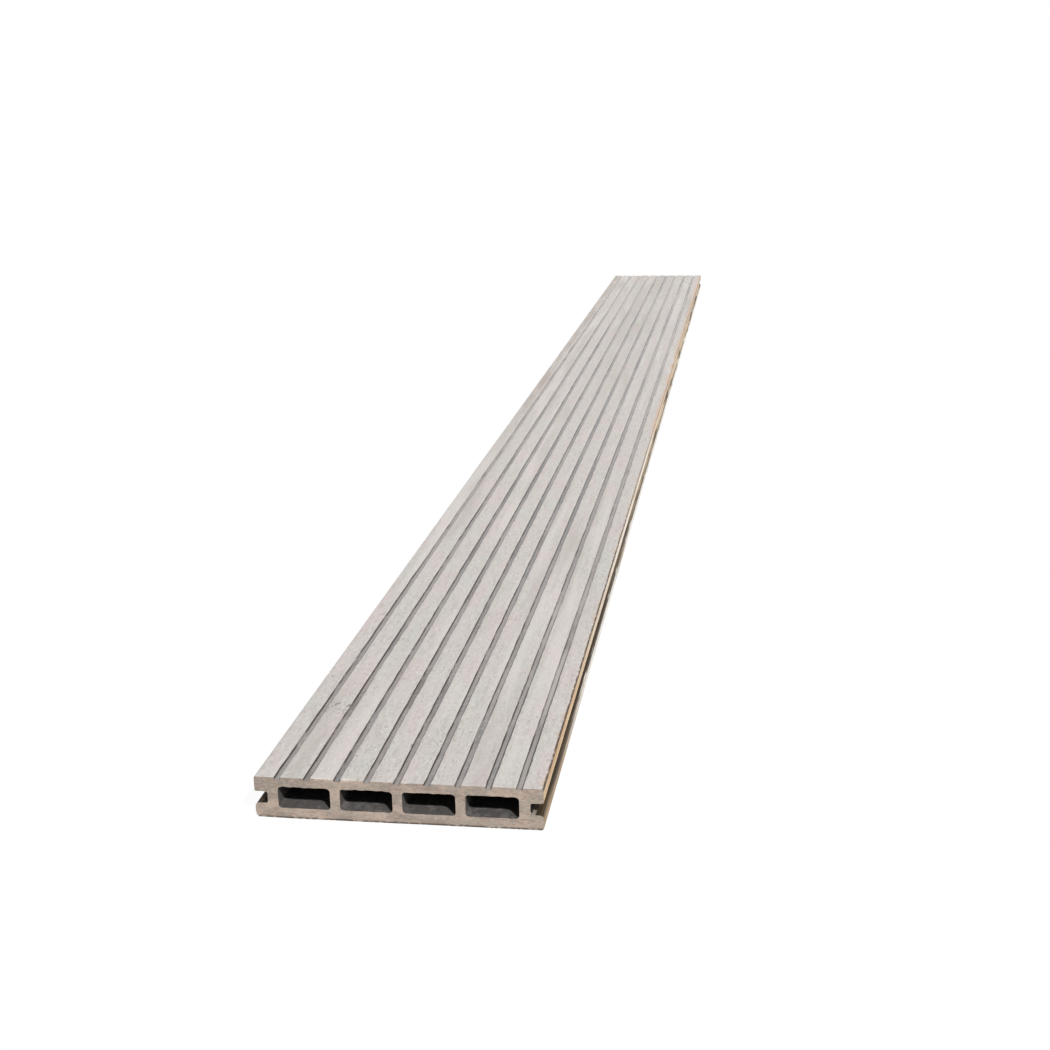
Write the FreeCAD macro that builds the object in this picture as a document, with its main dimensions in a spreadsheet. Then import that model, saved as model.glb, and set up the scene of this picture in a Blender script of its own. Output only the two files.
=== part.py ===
"""Hollow grooved decking board, extruded in wood-plastic composite.

One straight length of extruded stock. Its section is a flat rectangle with four
hollow chambers side by side, a clip slot along each long edge, and shallow
grooves along the walking face. X runs across the board, Y along its length and
Z up. The origin is the middle of the underside.
"""

import FreeCAD, Part
import os

import Sketcher

SIZES = [
    ("board_length", 2000, "length that the board is sawn to"),
    ("board_width", 145, "overall width"),
    ("board_thickness", 22, "overall thickness"),
    ("top_edge_radius", 0.8, "rounding of the two upper long edges"),
    ("bottom_edge_radius", 1.6, "rounding of the two lower long edges"),
    ("top_wall", 5.0, "wall between the chambers and the walking face"),
    ("bottom_wall", 5.6, "wall between the chambers and the underside"),
    ("side_wall", 5.4, "wall between an outer chamber and its clip slot"),
    ("inner_wall", 4.8, "wall between two chambers"),
    ("chamber_count", 4, "number of chambers"),
    ("chamber_radius", 1.7, "rounding of a chamber's corners"),
    ("slot_depth", 6.6, "depth of a clip slot"),
    ("slot_height", 6.2, "height of a clip slot"),
    ("lower_lip", 7.9, "height of the lip under a clip slot"),
    ("slot_back_radius", 1.2, "rounding of a slot's two inner corners"),
    ("upper_mouth_radius", 1.6, "rounding of the upper lip's edge at the slot's mouth"),
    ("lower_mouth_radius", 2.0, "rounding of the lower lip's edge at the slot's mouth"),
    ("groove_count", 9, "number of grooves in the walking face"),
    ("groove_width", 3.6, "width of a groove at the walking face"),
    ("groove_floor", 3.0, "width of a groove's floor"),
    ("groove_depth", 1.2, "depth of a groove"),
    ("edge_land", 10.0, "flat strip between the outermost groove and the board's edge"),
]
CHAMBER_WIDTH = (
    "(sizes.board_width - 2 * (sizes.slot_depth + sizes.side_wall)"
    " - (sizes.chamber_count - 1) * sizes.inner_wall) / sizes.chamber_count"
)
PLACE_TOLERANCE = 0.001


def make_sheet(doc):
    """The spreadsheet that holds the driving dimensions, in millimetres."""
    sheet = doc.addObject("Spreadsheet::Sheet", "sizes")
    for row, (alias, value, meaning) in enumerate(SIZES, start=1):
        sheet.set(f"A{row}", meaning)
        sheet.set(f"B{row}", str(value))
        sheet.setAlias(f"B{row}", alias)
    doc.recompute()
    return sheet


def origin_feature(body, role):
    """One of the body's own base planes or axes."""
    return next(f for f in body.Origin.OriginFeatures if f.Role == role)


def section_sketch(body, name):
    """An empty sketch on the plane of the board's cross-section: its x is X and its y is Z."""
    sketch = body.newObject("Sketcher::SketchObject", name)
    sketch.AttachmentSupport = [(origin_feature(body, "XZ_Plane"), "")]
    sketch.MapMode = "FlatFace"
    return sketch


def add_outline(sketch, corners):
    """Closes a polygon through the corners, each line joined to the next."""
    count = len(corners)
    for index, corner in enumerate(corners):
        start = FreeCAD.Vector(*corner, 0)
        end = FreeCAD.Vector(*corners[(index + 1) % count], 0)
        sketch.addGeometry(Part.LineSegment(start, end), False)
    for index in range(count):
        sketch.addConstraint(Sketcher.Constraint("Coincident", index, 2, (index + 1) % count, 1))


def dimension(sketch, name, expression, kind, *where):
    """A named dimension of the sketch, bound to the sheet."""
    index = sketch.addConstraint(Sketcher.Constraint(kind, *where, 1.0))
    sketch.renameConstraint(index, name)
    sketch.setExpression(f"Constraints.{name}", expression)


def add_rectangle(sketch, corners):
    """A rectangle from its lower left corner, anticlockwise: bottom, right, top and left lines."""
    add_outline(sketch, corners)
    for line in (0, 2):
        sketch.addConstraint(Sketcher.Constraint("Horizontal", line))
    for line in (1, 3):
        sketch.addConstraint(Sketcher.Constraint("Vertical", line))


def cut_through(body, name, sketch):
    """A pocket that cuts the sketch out of the board's whole length."""
    pocket = body.newObject("PartDesign::Pocket", name)
    pocket.Profile = sketch
    pocket.Type = "ThroughAll"
    pocket.SideType = "Symmetric"
    return pocket


def repeat_across(body, name, feature, extent, count):
    """Repeats a feature towards -X, spread evenly over an extent."""
    pattern = body.newObject("PartDesign::LinearPattern", name)
    pattern.Originals = [feature]
    pattern.Direction = (origin_feature(body, "X_Axis"), [""])
    pattern.Reversed = True
    pattern.Mode = "Extent"
    pattern.setExpression("Length", extent)
    pattern.setExpression("Occurrences", count)
    body.Tip = pattern
    return pattern


def long_edges(feature, places):
    """Names of the feature's edges that run along the board at the given (x, z) places."""
    names = []
    for number, edge in enumerate(feature.Shape.Edges, start=1):
        box = edge.BoundBox
        if box.XLength > PLACE_TOLERANCE or box.ZLength > PLACE_TOLERANCE:
            continue
        for x, z in places:
            if abs(box.XMin - x) < PLACE_TOLERANCE and abs(box.ZMin - z) < PLACE_TOLERANCE:
                names.append(f"Edge{number}")
    return names


def round_edges(body, name, places, radius):
    """Rounds the long edges of the body's last feature that lie at the given places."""
    body.Document.recompute()
    base = body.Tip
    fillet = body.newObject("PartDesign::Fillet", name)
    fillet.Base = (base, long_edges(base, places))
    fillet.setExpression("Radius", f"sizes.{radius}")
    body.Tip = fillet
    return fillet


def make_blank(body):
    """The solid bar that the chambers, slots and grooves are taken out of."""
    sketch = section_sketch(body, "blank_outline")
    add_rectangle(sketch, [(-1, 0), (1, 0), (1, 1), (-1, 1)])
    sketch.addConstraint(Sketcher.Constraint("Symmetric", 0, 1, 0, 2, -1, 1))
    dimension(sketch, "width", "sizes.board_width", "DistanceX", 0, 1, 0, 2)
    dimension(sketch, "thickness", "sizes.board_thickness", "DistanceY", 1, 1, 1, 2)
    pad = body.newObject("PartDesign::Pad", "blank")
    pad.Profile = sketch
    pad.SideType = "Symmetric"
    pad.setExpression("Length", "sizes.board_length")
    return pad


def make_chambers(body):
    """The hollow chambers, side by side between the two outer walls."""
    sketch = section_sketch(body, "chamber_outline")
    add_rectangle(sketch, [(1, 1), (2, 1), (2, 2), (1, 2)])
    dimension(
        sketch, "from_middle", "sizes.board_width / 2 - sizes.slot_depth - sizes.side_wall",
        "DistanceX", -1, 1, 0, 2,
    )
    dimension(sketch, "width", CHAMBER_WIDTH, "DistanceX", 0, 1, 0, 2)
    dimension(sketch, "from_underside", "sizes.bottom_wall", "DistanceY", -1, 1, 0, 1)
    dimension(
        sketch, "height", "sizes.board_thickness - sizes.top_wall - sizes.bottom_wall",
        "DistanceY", 1, 1, 1, 2,
    )
    pocket = cut_through(body, "chamber", sketch)
    extent = f"(sizes.chamber_count - 1) * ({CHAMBER_WIDTH} + sizes.inner_wall)"
    return repeat_across(body, "chambers", pocket, extent, "sizes.chamber_count")


def make_slots(body):
    """The clip slot along the right edge, and its mirror image along the left edge."""
    sketch = section_sketch(body, "slot_outline")
    add_rectangle(sketch, [(1, 1), (2, 1), (2, 2), (1, 2)])
    dimension(sketch, "mouth", "sizes.board_width / 2", "DistanceX", -1, 1, 0, 2)
    dimension(sketch, "depth", "sizes.slot_depth", "DistanceX", 0, 1, 0, 2)
    dimension(sketch, "from_underside", "sizes.lower_lip", "DistanceY", -1, 1, 0, 1)
    dimension(sketch, "height", "sizes.slot_height", "DistanceY", 1, 1, 1, 2)
    pocket = cut_through(body, "right_slot", sketch)
    mirrored = body.newObject("PartDesign::Mirrored", "slots")
    mirrored.Originals = [pocket]
    mirrored.MirrorPlane = (origin_feature(body, "YZ_Plane"), [""])
    body.Tip = mirrored
    return mirrored


def make_grooves(body):
    """The grooves in the walking face, evenly spaced between the two edge lands."""
    sketch = section_sketch(body, "groove_outline")
    add_outline(sketch, [(1, 1), (3, 1), (4, 2), (0, 2)])
    for line in (0, 2):
        sketch.addConstraint(Sketcher.Constraint("Horizontal", line))
    dimension(sketch, "from_middle", "sizes.board_width / 2 - sizes.edge_land", "DistanceX", -1, 1, 2, 1)
    dimension(sketch, "width", "sizes.groove_width", "DistanceX", 2, 2, 2, 1)
    dimension(sketch, "floor_width", "sizes.groove_floor", "DistanceX", 0, 1, 0, 2)
    dimension(sketch, "draft", "(sizes.groove_width - sizes.groove_floor) / 2", "DistanceX", 3, 1, 3, 2)
    dimension(sketch, "face", "sizes.board_thickness", "DistanceY", -1, 1, 2, 1)
    dimension(sketch, "depth", "sizes.groove_depth", "DistanceY", 0, 2, 2, 1)
    pocket = cut_through(body, "groove", sketch)
    extent = "sizes.board_width - 2 * sizes.edge_land - sizes.groove_width"
    return repeat_across(body, "grooves", pocket, extent, "sizes.groove_count")


def make_board(doc, sheet):
    """The whole board, as one body."""
    size = {alias: float(sheet.get(alias)) for alias, _, _ in SIZES}
    half_width = size["board_width"] / 2
    thickness = size["board_thickness"]
    slot_back = half_width - size["slot_depth"]
    slot_floor = size["lower_lip"]
    slot_roof = slot_floor + size["slot_height"]
    chamber_floor = size["bottom_wall"]
    chamber_roof = thickness - size["top_wall"]
    outer_chamber_side = slot_back - size["side_wall"]
    chamber_count = int(size["chamber_count"])
    chamber_width = (
        2 * outer_chamber_side - (chamber_count - 1) * size["inner_wall"]
    ) / chamber_count
    chamber_sides = []
    for index in range(chamber_count):
        right_side = outer_chamber_side - index * (chamber_width + size["inner_wall"])
        chamber_sides += [right_side, right_side - chamber_width]

    body = doc.addObject("PartDesign::Body", "decking_board")
    body.Label = "decking_board"
    make_blank(body)
    edges = (-half_width, half_width)
    round_edges(body, "top_edges", [(x, thickness) for x in edges], "top_edge_radius")
    round_edges(body, "bottom_edges", [(x, 0) for x in edges], "bottom_edge_radius")
    make_chambers(body)
    corners = [(x, z) for x in chamber_sides for z in (chamber_floor, chamber_roof)]
    round_edges(body, "chamber_corners", corners, "chamber_radius")
    make_slots(body)
    backs = [(x, z) for x in (-slot_back, slot_back) for z in (slot_floor, slot_roof)]
    round_edges(body, "slot_backs", backs, "slot_back_radius")
    round_edges(body, "upper_mouths", [(x, slot_roof) for x in edges], "upper_mouth_radius")
    round_edges(body, "lower_mouths", [(x, slot_floor) for x in edges], "lower_mouth_radius")
    make_grooves(body)
    return body


def check_and_write(doc, bodies):
    """Stops on a failed object, then writes each body to its own STEP file."""
    doc.recompute()
    for thing in doc.Objects:
        if "Invalid" in thing.State or "Error" in thing.State:
            raise RuntimeError(f"{thing.Label} failed: {thing.State}")
    os.makedirs("parts", exist_ok=True)
    for body in bodies:
        shape = body.Shape
        if shape.isNull() or not shape.isValid() or len(shape.Solids) != 1:
            raise RuntimeError(f"{body.Label} isn't one valid solid")
        shape.exportStep(f"parts/{body.Label}.step")
        litres = shape.Volume / 1e6
        print(f"{body.Label}: {litres:.4f} litres, {len(shape.Faces)} faces, {shape.BoundBox}")


def main():
    """Builds the document and writes the parts."""
    doc = FreeCAD.newDocument("decking_board")
    sheet = make_sheet(doc)
    check_and_write(doc, [make_board(doc, sheet)])


main()
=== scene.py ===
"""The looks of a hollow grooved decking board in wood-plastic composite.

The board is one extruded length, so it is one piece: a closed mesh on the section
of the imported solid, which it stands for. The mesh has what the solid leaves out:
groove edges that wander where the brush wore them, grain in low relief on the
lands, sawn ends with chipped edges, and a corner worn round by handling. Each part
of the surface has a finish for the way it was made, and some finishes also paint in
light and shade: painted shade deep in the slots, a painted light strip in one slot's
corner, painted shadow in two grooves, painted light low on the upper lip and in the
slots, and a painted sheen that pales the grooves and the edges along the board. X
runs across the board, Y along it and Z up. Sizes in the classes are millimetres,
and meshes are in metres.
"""

import logging
import math
from dataclasses import dataclass, field
from enum import Enum

import bpy
import numpy as np
from mathutils import Matrix, Vector
from mathutils.geometry import delaunay_2d_cdt


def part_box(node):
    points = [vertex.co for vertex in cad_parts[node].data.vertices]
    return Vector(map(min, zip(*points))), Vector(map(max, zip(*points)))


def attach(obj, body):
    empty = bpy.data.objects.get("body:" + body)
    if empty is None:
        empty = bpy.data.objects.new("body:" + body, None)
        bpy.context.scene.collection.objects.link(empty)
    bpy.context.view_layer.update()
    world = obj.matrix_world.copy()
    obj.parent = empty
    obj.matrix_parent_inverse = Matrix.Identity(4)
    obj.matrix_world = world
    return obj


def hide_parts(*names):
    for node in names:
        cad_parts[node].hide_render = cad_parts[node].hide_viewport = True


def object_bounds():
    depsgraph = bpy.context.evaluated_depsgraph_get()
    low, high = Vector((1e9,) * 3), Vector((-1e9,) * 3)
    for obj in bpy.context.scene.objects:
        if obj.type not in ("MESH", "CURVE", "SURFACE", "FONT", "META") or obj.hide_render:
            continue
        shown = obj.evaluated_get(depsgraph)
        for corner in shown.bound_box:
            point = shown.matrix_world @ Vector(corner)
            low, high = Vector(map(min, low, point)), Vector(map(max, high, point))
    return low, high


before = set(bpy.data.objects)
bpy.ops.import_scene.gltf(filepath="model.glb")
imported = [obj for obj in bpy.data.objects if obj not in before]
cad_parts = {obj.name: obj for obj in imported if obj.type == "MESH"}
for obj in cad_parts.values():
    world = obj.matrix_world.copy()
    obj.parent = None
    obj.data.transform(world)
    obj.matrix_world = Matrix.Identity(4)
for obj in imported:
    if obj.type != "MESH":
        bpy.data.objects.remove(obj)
cad_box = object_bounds()

NODE = "decking_board"

# A millimetre in metres, and a length in millimetres that is too small to count.
MM = 0.001
TINY = 0.001

# A Mix node's sockets for colours, by number, because its other sockets share their names.
MIX_FACTOR, MIX_A, MIX_B, MIX_RESULT = 0, 6, 7, 2

log = logging.getLogger("decking_board")


class Face(Enum):
    """The parts of the surface, by how each was made, except the slots' recesses and the strip in one
    slot's corner, which are painted shade and painted light. The number is its material's place.
    """

    BRUSHED = 0
    GROOVE = 1
    WALL = 2
    ARRIS = 3
    EDGE = 4
    FOOT = 5
    SLOT = 6
    # Painted shade: the slots' backs and roofs, and the left slot's inner floor.
    RECESS = 7
    # Painted light: a pale strip in the right slot's corner near the ends.
    LIT_STRIP = 8
    UNDERSIDE = 9
    CHAMBER = 10
    SAWN = 11


def linear(colour: str) -> tuple[float, float, float, float]:
    """Turns an sRGB hex colour into the linear colour that a shader takes, by the sRGB curve.

    Args:
        colour: six hex digits after a hash sign.

    Returns:
        Red, green, blue and an alpha of 1.
    """
    parts = [int(colour[place:place + 2], 16) / 255 for place in (1, 3, 5)]
    parts = [p / 12.92 if p <= 0.04045 else ((p + 0.055) / 1.055) ** 2.4 for p in parts]
    return (*parts, 1.0)


def add_node(
    tree: bpy.types.NodeTree,
    kind: str,
    settings: dict[str, object] | None = None,
    inputs: dict[int | str, object] | None = None,
) -> bpy.types.Node:
    """Adds a node with its settings and its inputs.

    Args:
        tree: the node tree that it goes into.
        kind: Blender's name for the node's type.
        settings: the node's own properties, by name.
        inputs: for a socket's name or number, its value or the output that feeds it.

    Returns:
        The new node.
    """
    node = tree.nodes.new(kind)
    for name, value in (settings or {}).items():
        setattr(node, name, value)
    for name, value in (inputs or {}).items():
        if isinstance(value, bpy.types.NodeSocket):
            tree.links.new(value, node.inputs[name])
        else:
            node.inputs[name].default_value = value
    return node


def add_object(name: str, data: bpy.types.ID) -> bpy.types.Object:
    """Adds an object with its data to the scene.

    Args:
        name: the object's name.
        data: its mesh, lamp or camera.

    Returns:
        The new object.
    """
    added = bpy.data.objects.new(name, data)
    bpy.context.scene.collection.objects.link(added)
    return added


class Unevenness:
    """Smooth random heights, the same each run, for what brushing and sawing leave."""

    CELLS = 512

    def __init__(self, seed: int) -> None:
        """Draws the lattice of heights."""
        self.heights = np.random.default_rng(seed).random((self.CELLS, self.CELLS))

    def at(self, u: np.ndarray, v: np.ndarray) -> np.ndarray:
        """Heights at places on the lattice.

        Args:
            u: places along the first axis, in cells.
            v: places along the second axis, in cells.

        Returns:
            Heights from 0 to 1, blended smoothly between the lattice's own.
        """
        u, v = np.broadcast_arrays(np.asarray(u, float), np.asarray(v, float))
        column, row = np.floor(u).astype(int), np.floor(v).astype(int)
        a, b = u - column, v - row
        a, b = a * a * (3 - 2 * a), b * b * (3 - 2 * b)
        left, right = column % self.CELLS, (column + 1) % self.CELLS
        low, high = row % self.CELLS, (row + 1) % self.CELLS
        near = self.heights[left, low] * (1 - a) + self.heights[right, low] * a
        far = self.heights[left, high] * (1 - a) + self.heights[right, high] * a
        return near * (1 - b) + far * b


@dataclass(frozen=True)
class Corner:
    """A corner of the section, with its rounding and the stretch that follows it."""

    x: float
    z: float
    radius: float
    into: Face
    after: Face
    spacing: float


@dataclass(frozen=True)
class Outline:
    """A closed line round the section, anticlockwise seen from the near end."""

    points: np.ndarray
    faces: list[Face]


def trace(corners: list[Corner]) -> Outline:
    """Joins rounded corners by straight stretches, cut up as finely as each asks.

    Args:
        corners: the corners in order. A corner's rounding has its face `into` on
            the first half and `after` on the second, and so has the stretch after it.
            Where the line goes straight on, a corner only changes the face.

    Returns:
        The outline, in millimetres.
    """
    large_radius, large_steps, small_steps = 0.5, 4, 2
    straight_turn = 1e-6
    places = [np.array((corner.x, corner.z)) for corner in corners]
    rounds = []
    for index, corner in enumerate(corners):
        incoming = places[index] - places[index - 1]
        outgoing = places[(index + 1) % len(places)] - places[index]
        incoming /= np.linalg.norm(incoming)
        outgoing /= np.linalg.norm(outgoing)
        turn = math.atan2(incoming[0] * outgoing[1] - incoming[1] * outgoing[0], incoming @ outgoing)
        if abs(turn) < straight_turn:
            rounds.append([places[index]])
            continue
        side = math.copysign(1, turn)
        start = places[index] - incoming * corner.radius * math.tan(abs(turn) / 2)
        centre = start + side * corner.radius * np.array((-incoming[1], incoming[0]))
        steps = large_steps if corner.radius > large_radius else small_steps
        arc = []
        for step in range(steps + 1):
            angle = turn * step / steps
            spoke = start - centre
            arc.append(centre + (
                spoke[0] * math.cos(angle) - spoke[1] * math.sin(angle),
                spoke[0] * math.sin(angle) + spoke[1] * math.cos(angle),
            ))
        rounds.append(arc)
    points, faces = [], []
    for index, corner in enumerate(corners):
        arc = rounds[index]
        following = rounds[(index + 1) % len(rounds)][0]
        half = (len(arc) - 1) // 2
        points += arc[:-1]
        faces += [corner.into] * half + [corner.after] * half
        count = max(1, round(np.linalg.norm(following - arc[-1]) / corner.spacing))
        points += [arc[-1] + (following - arc[-1]) * step / count for step in range(count)]
        faces += [corner.after] * count
    return Outline(np.array(points), faces)


def within(loop: np.ndarray, places: np.ndarray) -> np.ndarray:
    """Whether each place lies inside a closed loop.

    Args:
        loop: the loop's points, in order.
        places: the places to test.

    Returns:
        One truth value for each place.
    """
    following = np.roll(loop, -1, axis=0)
    x, z = places[:, :1], places[:, 1:]
    crosses = (loop[:, 1] > z) != (following[:, 1] > z)
    rise = np.where(following[:, 1] == loop[:, 1], 1.0, following[:, 1] - loop[:, 1])
    meets = loop[:, 0] + (z - loop[:, 1]) * (following[:, 0] - loop[:, 0]) / rise
    return (crosses & (x < meets)).sum(axis=1) % 2 == 1


def within_walls(loops: list[np.ndarray], places: np.ndarray) -> np.ndarray:
    """Whether each place lies inside the first loop and outside all the others."""
    holes = [within(hole, places) for hole in loops[1:]]
    return within(loops[0], places) & ~np.any(holes, axis=0)


@dataclass(frozen=True)
class Section:
    """The board's section, in millimetres, as the extruder's die gives it."""

    width: float
    thickness: float
    top_edge_radius: float = 0.8
    bottom_edge_radius: float = 1.6
    top_wall: float = 5.0
    bottom_wall: float = 5.6
    side_wall: float = 5.4
    inner_wall: float = 4.8
    chamber_count: int = 4
    chamber_radius: float = 1.7
    slot_depth: float = 6.6
    slot_height: float = 6.2
    lower_lip: float = 7.9
    slot_back_radius: float = 1.2
    slot_corner_radius: float = 2.4
    upper_mouth_radius: float = 1.0
    lower_mouth_radius: float = 2.0
    groove_count: int = 9
    groove_width: float = 3.6
    groove_floor: float = 3.0
    groove_depth: float = 1.2
    groove_lip_radius: float = 0.3
    groove_root_radius: float = 0.25
    # A strip at the left of each groove's floor that takes the wall's dark finish.
    groove_dark_strip_left: float = 0.25
    # Painted shadow: a strip at the right of each groove's floor, where the right lip's shadow falls, takes
    # the wall's dark finish.
    groove_painted_shadow_right: float = 0.6
    edge_land: float = 10.0
    arris_drop: float = 0.9
    # How far in from its mouth the left slot's floor keeps its skin; further in it is painted shade.
    slot_painted_shade_edge: float = 3.5
    land_spacing: float = 2.4
    groove_spacing: float = 0.9
    side_spacing: float = 2.4
    underside_spacing: float = 12.0
    mouth_spacing: float = 0.6

    def groove_middles(self) -> np.ndarray:
        """Where the grooves' middles lie across the board, from right to left."""
        outermost = self.width / 2 - self.edge_land - self.groove_width / 2
        return np.linspace(outermost, -outermost, self.groove_count)

    def skin(self) -> Outline:
        """Traces the skin: underside, right edge, walking face with its grooves, left edge.

        Returns:
            The section's outer line.
        """
        side, back = self.width / 2, self.width / 2 - self.slot_depth
        floor, roof = self.lower_lip, self.lower_lip + self.slot_height
        top = self.thickness
        shoulder = self.top_edge_radius + self.arris_drop
        under, edge, foot = Face.UNDERSIDE, Face.EDGE, Face.FOOT
        slot, lit_strip, recess = Face.SLOT, Face.LIT_STRIP, Face.RECESS
        brushed, arris = Face.BRUSHED, Face.ARRIS
        corners = [
            Corner(-side, 0, self.bottom_edge_radius, foot, under, self.underside_spacing),
            Corner(side, 0, self.bottom_edge_radius, under, foot, self.side_spacing),
            Corner(side, floor, self.lower_mouth_radius, foot, slot, self.side_spacing),
            # In the right slot, half of the lower corner is the painted light strip, and the rest, the back
            # and the roof are painted shade.
            Corner(back, floor, self.slot_corner_radius, lit_strip, recess, self.side_spacing),
            Corner(back, roof, self.slot_back_radius, recess, recess, self.side_spacing),
            Corner(side, roof, self.upper_mouth_radius, edge, edge, self.side_spacing),
            Corner(side, top - shoulder, 0, edge, arris, self.side_spacing),
            Corner(side, top, self.top_edge_radius, arris, brushed, self.land_spacing),
        ]
        for middle in self.groove_middles():
            corners += self.groove(middle)
        corners += [
            Corner(-side, top, self.top_edge_radius, brushed, arris, self.side_spacing),
            Corner(-side, top - shoulder, 0, arris, edge, self.side_spacing),
            # In the left slot, the back, the roof and the floor away from the mouth are painted shade.
            Corner(-side, roof, self.upper_mouth_radius, edge, recess, self.side_spacing),
            Corner(-back, roof, self.slot_back_radius, recess, recess, self.side_spacing),
            Corner(-back, floor, self.slot_back_radius, recess, recess, self.side_spacing),
            Corner(-side + self.slot_painted_shade_edge, floor, 0, recess, slot, self.side_spacing),
            Corner(-side, floor, self.lower_mouth_radius, slot, foot, self.side_spacing),
        ]
        return trace(corners)

    def groove(self, middle: float) -> list[Corner]:
        """Lists one groove's corners.

        Args:
            middle: where the groove's middle lies across the board.

        Returns:
            The corners, from its right lip down to its floor and up to its left lip.
        """
        lip, root = self.groove_lip_radius, self.groove_root_radius
        mouth, floor = self.groove_width / 2, self.groove_floor / 2
        low = self.thickness - self.groove_depth
        brushed, wall, groove = Face.BRUSHED, Face.WALL, Face.GROOVE
        return [
            Corner(middle + mouth, self.thickness, lip, brushed, wall, self.groove_spacing),
            Corner(middle + floor, low, root, wall, wall, self.groove_spacing),
            # The dark strip at the right of the floor is painted shadow of the right lip.
            Corner(middle + floor - self.groove_painted_shadow_right, low, 0, wall, groove, self.groove_spacing),
            Corner(middle - floor + self.groove_dark_strip_left, low, 0, groove, wall, self.groove_spacing),
            Corner(middle - floor, low, root, wall, wall, self.groove_spacing),
            Corner(middle - mouth, self.thickness, lip, brushed, brushed, self.land_spacing),
        ]

    def chambers(self) -> list[Outline]:
        """Traces the chambers.

        Returns:
            The chambers' lines, from left to right.
        """
        outer = self.width / 2 - self.slot_depth - self.side_wall
        width = (2 * outer - (self.chamber_count - 1) * self.inner_wall) / self.chamber_count
        floor, roof = self.bottom_wall, self.thickness - self.top_wall
        lines = []
        for index in range(self.chamber_count):
            left = -outer + index * (width + self.inner_wall)
            places = [(left, floor), (left + width, floor), (left + width, roof), (left, roof)]
            lines.append(trace([
                Corner(x, z, self.chamber_radius, Face.CHAMBER, Face.CHAMBER, self.mouth_spacing)
                for x, z in places
            ]))
        return lines


@dataclass(frozen=True)
class Chip:
    """A flake broken off where a sawn end meets the face above or below it."""

    middle: float
    length: float
    depth: float

    def depth_at(self, x: np.ndarray) -> np.ndarray:
        """How deep the chip is at places across the board."""
        share = (x - self.middle) / (self.length / 2)
        return self.depth * np.sqrt(np.clip(1 - share * share, 0, 1))


@dataclass(frozen=True)
class SawnEnd:
    """One end of the board: which way it faces, and the flakes that the saw broke off."""

    facing: int
    top_chips: tuple[Chip, ...]
    bottom_chips: tuple[Chip, ...]
    seed: int


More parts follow.
